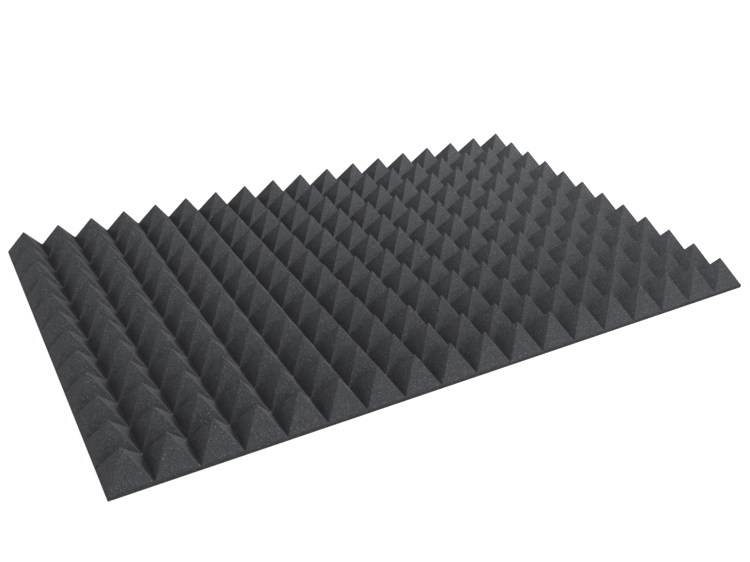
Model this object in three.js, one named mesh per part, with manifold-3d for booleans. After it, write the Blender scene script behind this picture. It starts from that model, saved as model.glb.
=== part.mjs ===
// Pyramid foam panel that absorbs sound on the wall or ceiling of a studio.
// The panel is one piece of open-cell foam: a thin flat base with square pyramids standing on it.
// Lengths are in millimetres. +X runs along the panel, +Y across it and +Z from its back to its tips.
// The origin is the centre of the flat back.

import * as THREE from 'three';
import { mergeVertices } from 'three/addons/utils/BufferGeometryUtils.js';
import Module from 'manifold-3d';

// Driving dimensions
const PANEL_LENGTH = 1500;
const PANEL_WIDTH = 1000;
const PANEL_DEPTH = 70; // flat back to pyramid tips
const BASE_THICKNESS = 8.5; // flat back to valley floors
const TIP_RADIUS = 1.3; // rounding left on every crest
const VALLEY_RADIUS = 1.3; // rounding along every valley floor
const CUT_OVERRUN = 20; // how far a cut runs on past the panel

// Pattern
const PYRAMIDS_ALONG = 18;
const PYRAMIDS_ACROSS = 12;
const ARC_STEPS = 2; // flats from the lowest or highest point of a rounding to its flank

const QUARTER_TURN = Math.PI / 2;

const foam = new THREE.MeshStandardMaterial({
  color: 0x4b4d51,
  roughness: 1,
  metalness: 0,
  flatShading: true,
});

const wasm = await Module();
wasm.setup();

// A closed geometry as a solid that can be cut.
function toSolid(geometry) {
  const bare = geometry.clone();
  bare.deleteAttribute('normal');
  bare.deleteAttribute('uv');
  const merged = mergeVertices(bare);
  return new wasm.Manifold(new wasm.Mesh({
    numProp: 3,
    vertProperties: new Float32Array(merged.attributes.position.array),
    triVerts: new Uint32Array(merged.index.array),
  }));
}

// A cut solid as a geometry that can be shown.
function toGeometry(solid) {
  const { vertProperties, triVerts } = solid.getMesh();
  const geometry = new THREE.BufferGeometry();
  geometry.setAttribute('position', new THREE.BufferAttribute(vertProperties, 3));
  geometry.setIndex(new THREE.BufferAttribute(triVerts, 1));
  geometry.computeVertexNormals();
  return geometry;
}

// Points along an arc, with both of its ends.
function arcPoints(centreX, centreY, radius, startAngle, endAngle) {
  return Array.from({ length: ARC_STEPS + 1 }, (_, step) => {
    const angle = THREE.MathUtils.lerp(startAngle, endAngle, step / ARC_STEPS);
    return new THREE.Vector2(centreX + radius * Math.cos(angle), centreY + radius * Math.sin(angle));
  });
}

// Steepness of a flank, the straight line that touches a valley's arc below and a crest's arc above.
// It leans from the line between the two centres by the angle whose sine is both radii over that line.
function flankAngle(pitch) {
  const run = pitch / 2;
  const rise = PANEL_DEPTH - TIP_RADIUS - (BASE_THICKNESS + VALLEY_RADIUS);
  return Math.atan2(rise, run) + Math.asin((TIP_RADIUS + VALLEY_RADIUS) / Math.hypot(run, rise));
}

// Outline of one tooth from the valley before it to the valley behind it.
// Its falling side mirrors its rising side about the crest.
function toothPoints(pitch) {
  const flank = flankAngle(pitch);
  const valleyCentre = BASE_THICKNESS + VALLEY_RADIUS;
  const crestCentre = PANEL_DEPTH - TIP_RADIUS;
  const rising = [
    ...arcPoints(0, valleyCentre, VALLEY_RADIUS, -QUARTER_TURN, flank - QUARTER_TURN),
    ...arcPoints(pitch / 2, crestCentre, TIP_RADIUS, flank + QUARTER_TURN, QUARTER_TURN),
  ];
  const falling = rising.slice(0, -1).reverse().map((point) => new THREE.Vector2(pitch - point.x, point.y));
  return [...rising, ...falling];
}

// Cross-section of the panel: a row of equal teeth over a straight back at the given height.
// Each tooth starts where the one before it ended, so only the first keeps its starting point.
function toothedSection(length, toothCount, backHeight) {
  const pitch = length / toothCount;
  const tooth = toothPoints(pitch);
  const points = [new THREE.Vector2(0, backHeight)];
  for (let index = 0; index < toothCount; index += 1) {
    const start = new THREE.Vector2(index * pitch, 0);
    points.push(...tooth.slice(index === 0 ? 0 : 1).map((point) => point.clone().add(start)));
  }
  points.push(new THREE.Vector2(length, backHeight));
  return new THREE.Shape(points);
}

// Foam left by the cuts that run across the panel: rounded ridges along Y, one after another along X.
function ridgesAcross() {
  const section = toothedSection(PANEL_LENGTH, PYRAMIDS_ALONG, 0);
  const depth = PANEL_WIDTH + 2 * CUT_OVERRUN;
  return new THREE.ExtrudeGeometry(section, { depth, bevelEnabled: false })
    .rotateX(QUARTER_TURN)
    .translate(-PANEL_LENGTH / 2, depth / 2, 0);
}

// Foam left by the cuts that run along the panel: rounded ridges along X, one after another along Y.
// Their block reaches below the back, which is cut from the other ridges alone.
function ridgesAlong() {
  const section = toothedSection(PANEL_WIDTH, PYRAMIDS_ACROSS, -CUT_OVERRUN);
  const depth = PANEL_LENGTH + 2 * CUT_OVERRUN;
  return new THREE.ExtrudeGeometry(section, { depth, bevelEnabled: false })
    .rotateX(QUARTER_TURN)
    .rotateZ(QUARTER_TURN)
    .translate(-depth / 2, -PANEL_WIDTH / 2, 0);
}

// The foam that both cuts leave. Where a ridge crosses a ridge a pyramid stands, whose four hips are
// the mitres of the two, and the valleys run straight through in both directions.
function foamPanel() {
  const panel = new THREE.Mesh(toGeometry(toSolid(ridgesAcross()).intersect(toSolid(ridgesAlong()))), foam);
  panel.name = 'foam_panel';
  return panel;
}

const group = new THREE.Group();
group.add(foamPanel());

export default group;
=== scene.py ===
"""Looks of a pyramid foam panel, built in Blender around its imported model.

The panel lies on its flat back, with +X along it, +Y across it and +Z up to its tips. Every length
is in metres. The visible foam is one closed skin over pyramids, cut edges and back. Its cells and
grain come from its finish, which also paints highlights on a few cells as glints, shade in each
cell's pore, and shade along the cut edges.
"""

import logging
import math
from dataclasses import dataclass
from enum import Enum

import bpy
import numpy as np
from mathutils import Euler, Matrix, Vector


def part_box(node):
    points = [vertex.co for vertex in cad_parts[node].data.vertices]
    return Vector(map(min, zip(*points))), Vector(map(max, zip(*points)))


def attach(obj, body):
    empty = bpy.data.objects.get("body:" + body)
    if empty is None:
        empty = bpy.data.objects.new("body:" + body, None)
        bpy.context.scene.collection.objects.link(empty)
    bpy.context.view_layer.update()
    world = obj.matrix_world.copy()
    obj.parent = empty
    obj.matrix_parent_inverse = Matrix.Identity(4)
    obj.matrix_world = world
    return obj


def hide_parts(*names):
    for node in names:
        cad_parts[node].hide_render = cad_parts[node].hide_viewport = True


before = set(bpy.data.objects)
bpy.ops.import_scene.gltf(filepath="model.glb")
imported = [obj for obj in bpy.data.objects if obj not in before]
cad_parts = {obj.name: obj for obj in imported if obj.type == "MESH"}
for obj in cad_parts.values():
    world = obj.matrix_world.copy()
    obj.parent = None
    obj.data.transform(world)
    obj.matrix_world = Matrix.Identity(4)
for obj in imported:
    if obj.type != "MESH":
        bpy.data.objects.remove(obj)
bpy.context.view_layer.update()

LOG = logging.getLogger("foam_panel")
FOAM_NODE = "foam_panel"
BODY = "root"

Value = bpy.types.NodeSocket | float | tuple[float, ...]


def add_object(name: str, data: bpy.types.ID) -> bpy.types.Object:
    """Puts a mesh, a light or a camera into the scene.

    Args:
        name: the object's name.
        data: what it holds.

    Returns:
        The object.
    """
    added = bpy.data.objects.new(name, data)
    bpy.context.scene.collection.objects.link(added)
    return added


@dataclass(frozen=True)
class ToothProfile:
    """The profile that the cuts leave: straight flanks between rounded crests and valleys.

    Attributes:
        pitch: distance from crest to crest.
        floor: height of the valley floors above the back.
        crest: height of the crests above the back.
        crest_radius: rounding of the crests.
        valley_radius: rounding of the valleys.
    """

    pitch: float
    floor: float
    crest: float
    crest_radius: float
    valley_radius: float

    def flank_angle(self) -> float:
        """Works out how steep a flank is.

        The flank touches the valley's arc and the crest's arc. It leans from the line between the
        two centres by the angle whose sine is both radii over the length of that line.

        Returns:
            The angle above the horizontal, in radians.
        """
        radii = self.crest_radius + self.valley_radius
        run = self.pitch / 2
        rise = self.crest - self.floor - radii
        return math.atan2(rise, run) + math.asin(radii / math.hypot(run, rise))

    def stations(self, arc_steps: int, flank_steps: int) -> tuple[np.ndarray, np.ndarray]:
        """Lists points of the profile from just beside a crest to the middle of a valley.

        On the crest's arc a point lies r sin t from the crest line and r (1 - cos t) below it, for
        t up to the flank's angle. The valley's arc is the same turned over. The flank is straight.

        Args:
            arc_steps: flats on each arc.
            flank_steps: flats on the flank.

        Returns:
            The distance of each point from the crest line, and its height above the back.
        """
        turn = self.flank_angle() * np.arange(1, arc_steps + 1) / arc_steps
        reach, drop = np.sin(turn), 1 - np.cos(turn)
        half = self.pitch / 2
        crest = [0, self.crest] + self.crest_radius * np.column_stack([reach, -drop])
        valley = [half, self.floor] + self.valley_radius * np.column_stack([-reach, drop])
        share = np.arange(1, flank_steps)[:, None] / flank_steps
        flank = crest[-1] + (valley[-1] - crest[-1]) * share
        return tuple(np.concatenate([crest, flank, valley[::-1], [[half, self.floor]]]).T)


@dataclass(frozen=True)
class Unevenness:
    """The faint waves of foam that a blade has cut and that has lain rolled up.

    Attributes:
        spacing: distance between its random values.
        depth: how far it moves the skin either way along each axis.
        seed: start of its random values.
    """

    spacing: float
    depth: float
    seed: int

    def moves(self, points: np.ndarray) -> np.ndarray:
        """Gives the move of each point.

        Random moves sit on a cubic lattice. Between them a move is their mean, weighted along each
        axis by s s (3 - 2 s), where s is the share of the way to the next one.

        Args:
            points: places, one a row.

        Returns:
            The moves, one a row.
        """
        steps = (points - points.min(axis=0)) / self.spacing
        cell = np.floor(steps).astype(int)
        shape = (*(cell.max(axis=0) + 2), 3)
        lattice = np.random.default_rng(self.seed).uniform(-self.depth, self.depth, shape)
        share = steps - cell
        share = share * share * (3 - 2 * share)
        moves = np.zeros_like(points)
        for corner in np.ndindex(2, 2, 2):
            weight = np.where(np.array(corner) == 1, share, 1 - share).prod(axis=1)
            moves += weight[:, None] * lattice[tuple((cell + corner).T)]
        return moves


@dataclass(frozen=True)
class FlatMap:
    """Where the skin lies on the square picture that its colours can be baked to.

    The front lies at the bottom as it is seen from above, over the picture's whole width. The edges
    lie over it as strips of the same scale, and the back takes the room that is left.

    Attributes:
        length: the panel's size along X.
        width: its size along Y.
        edge: height of its edges.
        edges: how many edges it has.
        gap: space beside each part, as a share of the picture's side.
        name: the map's name.
    """

    length: float
    width: float
    edge: float
    edges: int = 4
    gap: float = 1 / 256
    name: str = "OFBake"

    def scale(self) -> float:
        """Gives how much of the picture's side one metre of the front takes."""
        return (1 - 2 * self.gap) / self.length

    def strips(self) -> tuple[float, float]:
        """Gives how high on the picture the first strip begins, and the way from one to the next."""
        front_top = self.gap + self.scale() * self.width
        return front_top + 2 * self.gap, self.scale() * self.edge + 2 * self.gap

    def front(self, away: np.ndarray) -> np.ndarray:
        """Places points of the front, given how far they lie from its low corner along X and Y."""
        return self.gap + self.scale() * away

    def strip(self, number: np.ndarray, along: np.ndarray, height: np.ndarray) -> np.ndarray:
        """Places points of the edges.

        Args:
            number: which edge each point is on, counted from 0.
            along: how far along that edge it lies.
            height: its height above the back.

        Returns:
            Two shares of the picture's side for each point.
        """
        first, pitch = self.strips()
        across = self.gap + self.scale() * along
        up = first + pitch * number + self.scale() * height
        return np.stack(np.broadcast_arrays(across, up), axis=-1)

    def back(self, away: np.ndarray) -> np.ndarray:
        """Places points of the back.

        Args:
            away: how far they lie from its low corner along X and Y.

        Returns:
            Two shares of the picture's side for each point.
        """
        first, pitch = self.strips()
        start = first + self.edges * pitch
        scale = (1 - self.gap - start) / self.width
        return np.array([self.gap, start]) + scale * away


class Step(Enum):
    """The sums that a finish is worked out with, by the name of their Math node."""

    PLUS = "ADD"
    MINUS = "SUBTRACT"
    TIMES = "MULTIPLY"
    LEAST = "MINIMUM"
    SIZE = "ABSOLUTE"


class Graph:
    """The nodes of a material or a world, added one by one and joined as they are added.

    Attributes:
        tree: the node tree that they stand in.
        output: its output.
    """

    def __init__(self, owner: bpy.types.Material | bpy.types.World) -> None:
        """Empties the owner's node tree and starts it with its output.

        Args:
            owner: the material or the world.
        """
        owner.use_nodes = True
        self.tree = owner.node_tree
        self.tree.nodes.clear()
        kind = "World" if isinstance(owner, bpy.types.World) else "Material"
        self.output = self.add(f"ShaderNodeOutput{kind}", {})

    def join(self, source: Value, target: bpy.types.NodeSocket) -> None:
        """Feeds a socket from another socket, or sets it to a plain value.

        Args:
            source: what feeds it.
            target: the socket that is fed.
        """
        if isinstance(source, bpy.types.NodeSocket):
            self.tree.links.new(source, target)
        else:
            target.default_value = source

    def add(self, kind: str, inputs: dict[str | int, Value], **settings: str) -> bpy.types.Node:
        """Adds a node.

        Args:
            kind: its type, such as "ShaderNodeTexNoise".
            inputs: what feeds each input, by the input's name or number.
            **settings: its own settings, such as operation="ADD".

        Returns:
            The node.
        """
        node = self.tree.nodes.new(kind)
        for name, value in settings.items():
            setattr(node, name, value)
        for name, source in inputs.items():
            self.join(source, node.inputs[name])
        return node

    def sum(self, step: Step, *values: Value) -> bpy.types.NodeSocket:
        """Adds a Math node over one or two values and returns its result."""
        return self.add("ShaderNodeMath", dict(enumerate(values)), operation=step.value).outputs[0]

    def spread(
        self, value: Value, source: tuple[float, float], target: tuple[float, float]
    ) -> bpy.types.NodeSocket:
        """Takes one range of values to another.

        Args:
            value: what is spread.
            source: its range, which it is held to.
            target: what the ends of that range become.

        Returns:
            The result.
        """
        ends = {"From Min": source[0], "From Max": source[1], "To Min": target[0], "To Max": target[1]}
        return self.add("ShaderNodeMapRange", {"Value": value, **ends}).outputs["Result"]

    def noise(self, place: Value, size: float, detail: float) -> bpy.types.NodeSocket:
        """Adds soft noise whose clumps are about the given size, and returns its value."""
        inputs = {"Vector": place, "Scale": 1 / size, "Detail": detail}
        return self.add("ShaderNodeTexNoise", inputs).outputs["Fac"]

    def cells(self, place: Value, size: float) -> bpy.types.Node:
        """Adds a pattern of cells of about the given size."""
        return self.add("ShaderNodeTexVoronoi", {"Vector": place, "Scale": 1 / size})


@dataclass(frozen=True)
class FoamFinish:
    """Charcoal open-cell foam: cells of uneven shade, painted shade in each pore, a few painted
    highlights.

    Attributes:
        colour: the foam's colour, in linear light.
        cell: size of a cell.
        cell_contrast: how far a cell is brighter or darker than the mean.
        painted_pore_shade: painted shade in each pore: how bright a cell's middle is beside the struts
            round it.
        pore_wall: where a pore's wall begins and ends from its middle, as shares of the cell's size.
        painted_glint_share: how many cells get a painted highlight.
        painted_glint_gain: how much brighter than the foam the brightest painted highlight is.
        clump: size of the clumps of cells.
        clump_contrast: how far a clump is brighter or darker than the mean.
        patch: size of the broad, faint changes of shade.
        patch_contrast: how far these are brighter or darker than the mean.
        noise_detail: how much finer detail the clumps and the patches have.
        noise_span: between which values their noise mostly lies.
        painted_edge_shade: painted shade on the cut edges, how bright they are beside the front.
        edge_reach: how far that shade goes on from the edges into the front.
        edge_fade: distance over which it then ends.
        relief: depth of the cells' relief.
        roughness: how dull its shine is, from 0 to 1.
        shine: strength of that shine, where 0.5 is plain plastic's.
    """

    colour: tuple[float, float, float] = (0.0807, 0.0831, 0.09)
    cell: float = 0.0015
    cell_contrast: float = 0.3
    painted_pore_shade: float = 0.8
    pore_wall: tuple[float, float] = (0.1, 0.7)
    painted_glint_share: float = 0.05
    painted_glint_gain: float = 1.4
    clump: float = 0.006
    clump_contrast: float = 0.05
    patch: float = 0.09
    patch_contrast: float = 0.02
    noise_detail: float = 1.5
    noise_span: tuple[float, float] = (0.25, 0.75)
    painted_edge_shade: float = 0.86
    edge_reach: float = 0.0012
    edge_fade: float = 0.0008
    relief: float = 0.0004
    roughness: float = 1.0
    shine: float = 0.15

    def cells(self, graph: Graph, place: Value) -> tuple[bpy.types.NodeSocket, bpy.types.NodeSocket]:
        """Draws the cells.

        Each cell has a random number from 0 to 1, which sets its shade evenly about the mean. The
        cells with the highest numbers get a painted highlight that grows in step with them. All get
        painted shade towards their middle, where the pore is.

        Args:
            graph: the material's nodes.
            place: where on the foam.

        Returns:
            The brightness, with its painted highlights and painted shade, and the height of the
            relief from 0 in each pore to 1 on the struts.
        """
        pattern = graph.cells(place, self.cell).outputs
        draw = graph.add("ShaderNodeSeparateColor", {"Color": pattern["Color"]}).outputs["Red"]
        shade = graph.spread(draw, (0.0, 1.0), (1 - self.cell_contrast, 1 + self.cell_contrast))
        # Painted highlights: the cells with the highest numbers are brightened in the base colour.
        painted_glint = graph.spread(draw, (1 - self.painted_glint_share, 1.0), (0.0, self.painted_glint_gain))
        struts = graph.spread(pattern["Distance"], self.pore_wall, (0.0, 1.0))
        # Painted shade: each cell darkens towards its middle, where the pore is.
        pore_painted_shade = graph.spread(struts, (0.0, 1.0), (self.painted_pore_shade, 1.0))
        return graph.sum(Step.TIMES, graph.sum(Step.PLUS, shade, painted_glint), pore_painted_shade), struts

    def wander(self, graph: Graph, place: Value, size: float, contrast: float) -> bpy.types.NodeSocket:
        """Gives brightness that wanders about 1 by the given contrast, in clumps of the given size."""
        noise = graph.noise(place, size, self.noise_detail)
        return graph.spread(noise, self.noise_span, (1 - contrast, 1 + contrast))

    def edges(self, graph: Graph, place: Value, half: tuple[float, float]) -> bpy.types.NodeSocket:
        """Gives the painted shade along the cut edges, on them and on the foam just beside them.

        The way in from an edge is half the panel's size less the distance from its middle. The less
        of the two, along X and along Y, is the way from the nearest edge.

        Args:
            graph: the material's nodes.
            place: where on the foam.
            half: half the panel's length and half its width.

        Returns:
            The brightness, 1 away from the edges.
        """
        axes = graph.add("ShaderNodeSeparateXYZ", {"Vector": place}).outputs
        sides = zip(half, (axes["X"], axes["Y"]))
        inside = [graph.sum(Step.MINUS, reach, graph.sum(Step.SIZE, axis)) for reach, axis in sides]
        nearest = graph.sum(Step.LEAST, *inside)
        ends = (self.edge_reach, self.edge_reach + self.edge_fade)
        return graph.spread(nearest, ends, (self.painted_edge_shade, 1.0))

    def material(self, half: tuple[float, float]) -> bpy.types.Material:
        """Builds the finish.

        Args:
            half: half the panel's length and half its width.

        Returns:
            The material.
        """
        material = bpy.data.materials.new("charcoal_foam")
        graph = Graph(material)
        place = graph.add("ShaderNodeTexCoord", {}).outputs["Object"]
        # The cells carry painted highlights and painted shade in each pore.
        cells, struts = self.cells(graph, place)
        clumps = self.wander(graph, place, self.clump, self.clump_contrast)
        patches = self.wander(graph, place, self.patch, self.patch_contrast)
        bright = graph.sum(Step.TIMES, graph.sum(Step.TIMES, cells, clumps), patches)
        # Painted shade darkens the cut edges and the foam just beside them.
        bright = graph.sum(Step.TIMES, bright, self.edges(graph, place, half))
        colour = graph.add("ShaderNodeVectorMath", {0: self.colour, "Scale": bright}, operation="SCALE")
        bump = graph.add("ShaderNodeBump", {"Distance": self.relief, "Height": struts})
        shader = graph.add(
            "ShaderNodeBsdfPrincipled",
            {
                "Base Color": colour.outputs["Vector"],
                "Normal": bump.outputs["Normal"],
                "Roughness": self.roughness,
                "Specular IOR Level": self.shine,
            },
        )
        graph.join(shader.outputs["BSDF"], graph.output.inputs["Surface"])
        return material


@dataclass(frozen=True)
class Skin:
    """A surface as plain arrays.

    Attributes:
        points: places of the corners, one a row.
        quads: corner numbers of the four-sided faces, one a row.
        tips: corner numbers of the three-sided faces round the tips, one a row.
    """

    points: np.ndarray
    quads: np.ndarray
    tips: np.ndarray


@dataclass
class FoamPanel:
    """The foam: pyramids on a thin base, with square-cut edges and a flat back.

    Attributes:
        low: lowest corner of the solid that it stands for.
        high: highest corner of that solid.
        along: pyramids along the panel.
        across: pyramids across it.
        base: thickness of the foam under the valleys.
        tip_radius: rounding of the tips.
        tip_rise: how far the tips stand over the solid's, which are a little sharper.
        hip_radius: rounding of the hips.
        hip_share: the most that a level's corners are rounded, as a share of its half side.
        valley_radius: rounding of the valleys.
        trim: rounding between the edges and the back.
        arc_steps: flats on each rounding of the profile.
        flank_steps: flats down a flank.
        side_steps: flats along each side of a pyramid.
        edge_steps: flats down an edge.
        trim_steps: flats on the rounding between edge and back.
        weld: distance below which two points are one.
        smooth: sharpest turn between faces that is still shaded as a rounding, in degrees.
        waves: unevenness of the cut foam, coarse and fine.
        name: the piece's name.
    """

    low: Vector
    high: Vector
    along: int = 18
    across: int = 12
    base: float = 0.0085
    tip_radius: float = 0.002
    tip_rise: float = 0.0006
    hip_radius: float = 0.001
    hip_share: float = 0.6
    valley_radius: float = 0.0013
    trim: float = 0.0005
    arc_steps: int = 3
    flank_steps: int = 7
    side_steps: int = 6
    edge_steps: int = 3
    trim_steps: int = 2
    weld: float = 1e-5
    smooth: float = 60.0
    waves: tuple[Unevenness, ...] = (Unevenness(0.12, 0.0003, 11), Unevenness(0.03, 0.0002, 12))
    name: str = "foam_skin"

    def pyramid(self) -> Skin:
        """Builds one pyramid about its own axis, without its base.

        Its level at distance a from the axis is a square of half side a, at the height of the tooth
        profile there. Each corner of the square is rounded by c, which is the hips' radius or, near
        the tip, a share of a. On the lowest level the corners are sharp, to meet the next pyramids.
        A corner has its two ends and a point between them, c (1 - cos 45) in from the sharp corner
        along both sides. One side of the square is worked out as complex numbers, with its distance
        from the axis as their real part, and its quarter turns are the other three.

        Returns:
            The skin from the tip, its first point, down to the valleys round it.
        """
        pitch = (self.high.x - self.low.x) / self.along
        floor, crest = self.low.z + self.base, self.high.z + self.tip_rise
        profile = ToothProfile(pitch, floor, crest, self.tip_radius, self.valley_radius)
        away, height = profile.stations(self.arc_steps, self.flank_steps)
        rounding = np.minimum(self.hip_radius, self.hip_share * away)
        inset = rounding * (1 - math.cos(math.pi / 4))
        inset[-1] = 0
        share = np.linspace(-1, 1, self.side_steps + 1)
        sideways = np.column_stack([(away - rounding)[:, None] * share, away - inset])
        outward = np.column_stack([np.repeat(away[:, None], len(share), axis=1), away - inset])
        quarter_turns = np.array([1, 1j, -1, -1j])
        side = (outward + 1j * sideways)[:, None, :]
        ring = (side * quarter_turns[:, None]).reshape(len(away), -1)
        levels = np.broadcast_to(height[:, None], ring.shape)
        points = np.stack([ring.real, ring.imag, levels], axis=-1).reshape(-1, 3)
        points = np.concatenate([[[0.0, 0.0, crest]], points])
        number = 1 + np.arange(ring.size).reshape(ring.shape)
        after = np.roll(number, -1, axis=1)
        quads = np.stack([number[:-1], number[1:], after[1:], after[:-1]], axis=-1).reshape(-1, 4)
        tips = np.stack([np.zeros_like(number[0]), number[0], after[0]], axis=-1)
        return Skin(points, quads, tips)

    def front(self) -> Skin:
        """Copies the pyramid to every place, and makes points that fall together one.

        Of N pyramids along an axis, number n from 0 stands (n + 1/2) / N of the way along the panel.

        Returns:
            The whole upper side, open where the edges begin.
        """
        one = self.pyramid()
        x = self.low.x + (self.high.x - self.low.x) * (np.arange(self.along) + 0.5) / self.along
        y = self.low.y + (self.high.y - self.low.y) * (np.arange(self.across) + 0.5) / self.across
        centres = np.stack(np.meshgrid(x, y, [0.0], indexing="ij"), axis=-1).reshape(-1, 1, 3)
        points = (one.points + centres).reshape(-1, 3)
        first = len(one.points) * np.arange(len(centres))[:, None, None]
        steps = np.round(points / self.weld).astype(np.int64)
        _, kept, number = np.unique(steps, axis=0, return_index=True, return_inverse=True)
        number = number.reshape(-1)
        quads = number[(one.quads + first).reshape(-1, 4)]
        tips = number[(one.tips + first).reshape(-1, 3)]
        return Skin(points[kept], quads, tips)

    def outline(self, points: np.ndarray) -> tuple[np.ndarray, np.ndarray]:
        """Finds the points where the edges begin, in order round the panel.

        Args:
            points: places of the upper side.

        Returns:
            Their numbers, from the low corner along +X and on round, and the way walked to each.
        """
        length, width = self.high.x - self.low.x, self.high.y - self.low.y
        x, y = points[:, 0] - self.low.x, points[:, 1] - self.low.y
        sides = [y < self.weld, x > length - self.weld, y > width - self.weld, x < self.weld]
        ways = [x, length + y, 2 * length + width - x, 2 * (length + width) - y]
        walked = np.select(sides, ways, default=-1.0)
        order = np.argsort(walked)
        order = order[walked[order] > -self.weld]
        return order, walked[order]

    def edge_rows(self) -> tuple[np.ndarray, np.ndarray]:
        """Lists the levels of an edge below its top.

        Returns:
            The height of each level, and how far it lies in from the edge's plane. On the rounding
            they are r (1 - sin t) and r (1 - cos t), for t from 0 at the edge to 90 degrees.
        """
        straight = np.linspace(self.low.z + self.base, self.low.z + self.trim, self.edge_steps + 1)[1:]
        turn = np.linspace(0, math.pi / 2, self.trim_steps + 1)[1:]
        height = np.concatenate([straight, self.low.z + self.trim * (1 - np.sin(turn))])
        inset = np.concatenate([np.zeros_like(straight), self.trim * (1 - np.cos(turn))])
        return height, inset

    def closed(self, front: Skin) -> tuple[np.ndarray, np.ndarray, np.ndarray]:
        """Closes the upper side with edges and a back.

        A level of the edges is the outline, drawn in to the panel's rectangle less the level's inset.

        Args:
            front: the upper side.

        Returns:
            All points, then the edges' levels as rows of point numbers with the outline on top, and
            the way walked round the panel to each column.
        """
        order, walked = self.outline(front.points)
        height, inset = self.edge_rows()
        low = np.array(self.low[:2]) + inset[:, None]
        high = np.array(self.high[:2]) - inset[:, None]
        around = np.clip(front.points[order, :2], low[:, None], high[:, None])
        levels = np.broadcast_to(height[:, None, None], (*around.shape[:2], 1))
        rows = np.concatenate([around, levels], axis=-1)
        added = len(front.points) + np.arange(rows.shape[0] * rows.shape[1]).reshape(rows.shape[:2])
        points = np.concatenate([front.points, rows.reshape(-1, 3)])
        return points, np.vstack([order, added]), walked

    def flat_places(
        self, flat: FlatMap, skin: Skin, levels: np.ndarray, walked: np.ndarray
    ) -> np.ndarray:
        """Lays every face corner of the skin on its flat map.

        A corner on an edge lies as far along its strip as the way walked since the edge's start.

        Args:
            flat: the map.
            skin: all points, with the faces of the upper side.
            levels: the edges' levels as rows of point numbers.
            walked: the way walked round the panel to each column of them.

        Returns:
            The places in the order of the faces: quads, tips, edges and back.
        """
        size = self.high - self.low
        away = skin.points[:, :2] - np.array(self.low[:2])
        starts = np.array([0, size.x, size.x + size.y, 2 * size.x + size.y])
        edge = np.searchsorted(starts, walked + self.weld, side="right") - 1
        after = np.append(walked[1:], 2 * (size.x + size.y))
        upper, lower = skin.points[levels[:-1], 2], skin.points[levels[1:], 2]
        corners = [(upper, walked), (lower, walked), (lower, after), (upper, after)]
        strips = [flat.strip(edge, way - starts[edge], height) for height, way in corners]
        parts = [
            flat.front(away[skin.quads]),
            flat.front(away[skin.tips]),
            np.stack(strips, axis=-2),
            flat.back(away[levels[-1, ::-1]]),
        ]
        return np.concatenate([part.reshape(-1, 2) for part in parts])

    def build(self, finish: FoamFinish) -> bpy.types.Object:
        """Builds the foam as one closed mesh.

        Args:
            finish: what it is dressed in.

        Returns:
            The piece.
        """
        front = self.front()
        points, levels, walked = self.closed(front)
        after = np.roll(levels, -1, axis=1)
        edges = np.stack([levels[:-1], levels[1:], after[1:], after[:-1]], axis=-1).reshape(-1, 4)
        flat = FlatMap(self.high.x - self.low.x, self.high.y - self.low.y, self.base)
        places = self.flat_places(flat, Skin(points, front.quads, front.tips), levels, walked)
        rise = np.clip((points[:, 2:] - self.low.z) / self.base, 0, 1)
        points = points + rise * sum(wave.moves(points) for wave in self.waves)
        faces = front.quads.tolist() + front.tips.tolist() + edges.tolist() + [levels[-1, ::-1].tolist()]
        mesh = bpy.data.meshes.new(self.name)
        mesh.from_pydata(points.tolist(), [], faces)
        mesh.uv_layers.new(name=flat.name).uv.foreach_set("vector", places.ravel())
        mesh.shade_smooth()
        mesh.set_sharp_from_angle(angle=math.radians(self.smooth))
        mesh.materials.append(finish.material((self.high.x, self.high.y)))
        piece = add_object(self.name, mesh)
        piece.modifiers.new("flat_faces", "WEIGHTED_NORMAL").keep_sharp = True
        LOG.info("%s: %d points, %d faces", self.name, len(points), len(faces))
        return piece


@dataclass(frozen=True)
class Floor:
    """The pale floor, which the camera sees as white with a faint shadow under the panel.

    Attributes:
        side: length of its sides.
        drop: how far it lies below the back.
        colour: its grey, in linear light.
        glow: light that it gives off for the camera alone.
        shown: its grey for the camera, on which the shadow shows.
    """

    side: float = 12.0
    drop: float = 0.0002
    colour: float = 0.4
    glow: float = 0.91
    shown: float = 0.2

    def grey(self, graph: Graph, shade: float) -> bpy.types.NodeSocket:
        """Adds a dull surface of the given grey."""
        return graph.add("ShaderNodeBsdfDiffuse", {"Color": (shade, shade, shade, 1.0)}).outputs[0]

    def material(self) -> bpy.types.Material:
        """Builds its material.

        Returns:
            Pale grey for the light that bounces off it. Seen by the camera, or in a reflection, it
            is a darker grey with a glow on top, so that it is white and a shadow is a faint grey.
        """
        material = bpy.data.materials.new("pale_floor")
        graph = Graph(material)
        pale = self.grey(graph, self.colour)
        dim = self.grey(graph, self.shown)
        glow = graph.add("ShaderNodeEmission", {"Strength": self.glow})
        white = graph.add("ShaderNodeAddShader", {0: dim, 1: glow.outputs[0]})
        seen = seen_directly(graph)
        mixed = graph.add("ShaderNodeMixShader", {"Fac": seen, 1: pale, 2: white.outputs[0]})
        graph.join(mixed.outputs[0], graph.output.inputs["Surface"])
        return material

    def build(self) -> None:
        """Builds the floor as one square."""
        half = self.side / 2
        corners = np.array([(-half, -half), (half, -half), (half, half), (-half, half)])
        points = np.column_stack([corners, np.full(len(corners), -self.drop)])
        mesh = bpy.data.meshes.new("floor")
        mesh.from_pydata(points.tolist(), [], [range(len(corners))])
        mesh.materials.append(self.material())
        floor = add_object("floor", mesh)


def seen_directly(graph: Graph) -> bpy.types.NodeSocket:
    """Tells what the camera sees from what only lights the scene.

    Args:
        graph: the nodes that need it.

    Returns:
        1 for what the camera sees, directly, in a reflection or through glass, and else 0.
    """
    path = graph.add("ShaderNodeLightPath", {}).outputs
    mirrored = graph.sum(Step.PLUS, path["Is Glossy Ray"], path["Is Transmission Ray"])
    return graph.sum(Step.PLUS, path["Is Camera Ray"], mirrored)


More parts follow.
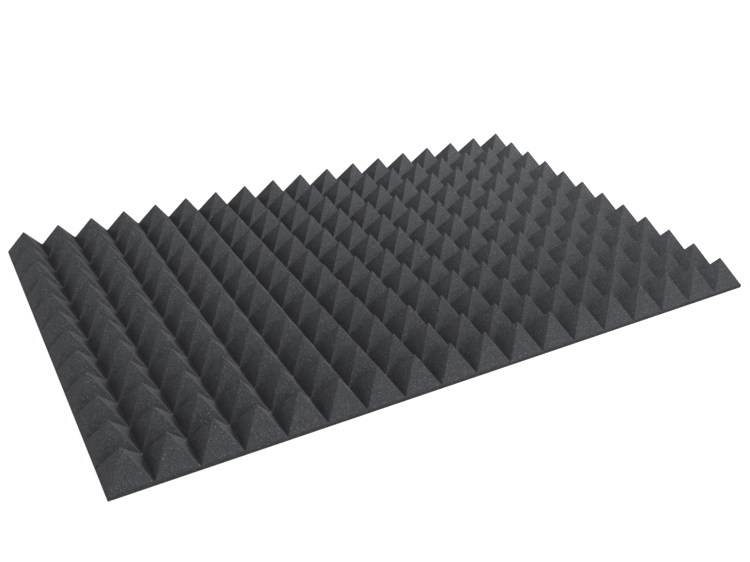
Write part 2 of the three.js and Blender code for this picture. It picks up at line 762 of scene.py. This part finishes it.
@dataclass(frozen=True)
class SoftLight:
    """A round soft box that points at the middle of the panel.

    Attributes:
        name: what it is for.
        azimuth: its direction from the panel, in degrees from +X towards +Y.
        elevation: its angle above the floor, in degrees.
        distance: how far it stands off.
        diameter: how wide it is.
        power: its power in watts.
    """

    name: str
    azimuth: float
    elevation: float
    distance: float
    diameter: float
    power: float

    def build(self) -> None:
        """Builds the light."""
        azimuth, elevation = math.radians(self.azimuth), math.radians(self.elevation)
        flat = math.cos(elevation)
        away = Vector((flat * math.cos(azimuth), flat * math.sin(azimuth), math.sin(elevation)))
        data = bpy.data.lights.new(self.name, "AREA")
        data.shape = "DISK"
        data.size = self.diameter
        data.energy = self.power
        light = add_object(self.name, data)
        light.location = self.distance * away
        light.rotation_euler = (-away).to_track_quat("-Z", "Y").to_euler()


@dataclass(frozen=True)
class Studio:
    """Plain soft light: four soft boxes on the right, four weak ones round the panel, a pale room.

    Attributes:
        room: brightness of the room.
        lights: the soft boxes.
    """

    room: float = 0.478
    lights: tuple[SoftLight, ...] = (
        SoftLight("right_light", -21.0, 43.0, 1.905, 0.5, 8.5),
        SoftLight("top_light", 0.0, 55.3, 1.581, 0.5, 12.8),
        SoftLight("side_light", 21.0, 32.9, 1.658, 0.5, 5.2),
        SoftLight("far_light", 0.0, 24.0, 3.0, 0.9, 14.1),
        SoftLight("rear_light", 135.0, 12.0, 3.0, 0.9, 12.8),
        SoftLight("left_light", 225.0, 14.0, 3.0, 0.9, 5.8),
        SoftLight("front_light", 270.0, 30.0, 3.0, 0.9, 11.0),
        SoftLight("low_light", 270.0, 5.0, 3.0, 0.9, 6.3),
    )

    def build(self) -> None:
        """Builds the lights and the room, which the camera sees as white."""
        for light in self.lights:
            light.build()
        world = bpy.data.worlds.new("room")
        graph = Graph(world)
        strength = graph.spread(seen_directly(graph), (0.0, 1.0), (self.room, 1.0))
        white = (1.0, 1.0, 1.0, 1.0)
        background = graph.add("ShaderNodeBackground", {"Color": white, "Strength": strength})
        graph.join(background.outputs[0], graph.output.inputs["Surface"])
        bpy.context.scene.world = world


@dataclass(frozen=True)
class PhotoCamera:
    """The camera of the photograph, from the outline's fit to it.

    Attributes:
        place: where it stands.
        tilt: how far it looks down, in degrees.
        roll: how far it leans, in degrees.
        heading: how far it is turned from +Y towards +X, in degrees.
        focal_px: its focal length in pixels of the photograph.
        centre_px: where its axis meets the photograph, from the left and from the top.
        size_px: width and height of the photograph.
        sensor: width of its sensor, in millimetres.
    """

    place: tuple[float, float, float] = (-0.89211, -1.72063, 1.09777)
    tilt: float = 30.1766
    roll: float = -0.0086
    heading: float = 28.4451
    focal_px: float = 908.08
    centre_px: tuple[float, float] = (377.362, 280.4)
    size_px: tuple[int, int] = (750, 562)
    sensor: float = 36.0

    def build(self) -> None:
        """Builds the camera and makes it the scene's."""
        width, height = self.size_px
        data = bpy.data.cameras.new("camera")
        data.sensor_width = self.sensor
        data.lens = self.sensor * self.focal_px / width
        data.shift_x = (width / 2 - self.centre_px[0]) / width
        data.shift_y = (self.centre_px[1] - height / 2) / width
        camera = add_object("camera", data)
        camera.location = self.place
        # A camera that isn't turned looks straight down.
        turns = (90 - self.tilt, self.roll, -self.heading)
        camera.rotation_euler = Euler([math.radians(turn) for turn in turns])
        bpy.context.scene.camera = camera


def main() -> None:
    """Builds the panel, the floor, the light and the camera."""
    logging.basicConfig(level=logging.INFO, format="%(name)s: %(message)s")
    bpy.context.scene.view_settings.view_transform = "Standard"
    PhotoCamera().build()
    panel = FoamPanel(*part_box(FOAM_NODE)).build(FoamFinish())
    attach(panel, BODY)
    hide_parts(FOAM_NODE)
    Floor().build()
    Studio().build()


if __name__ == "__main__":
    main()
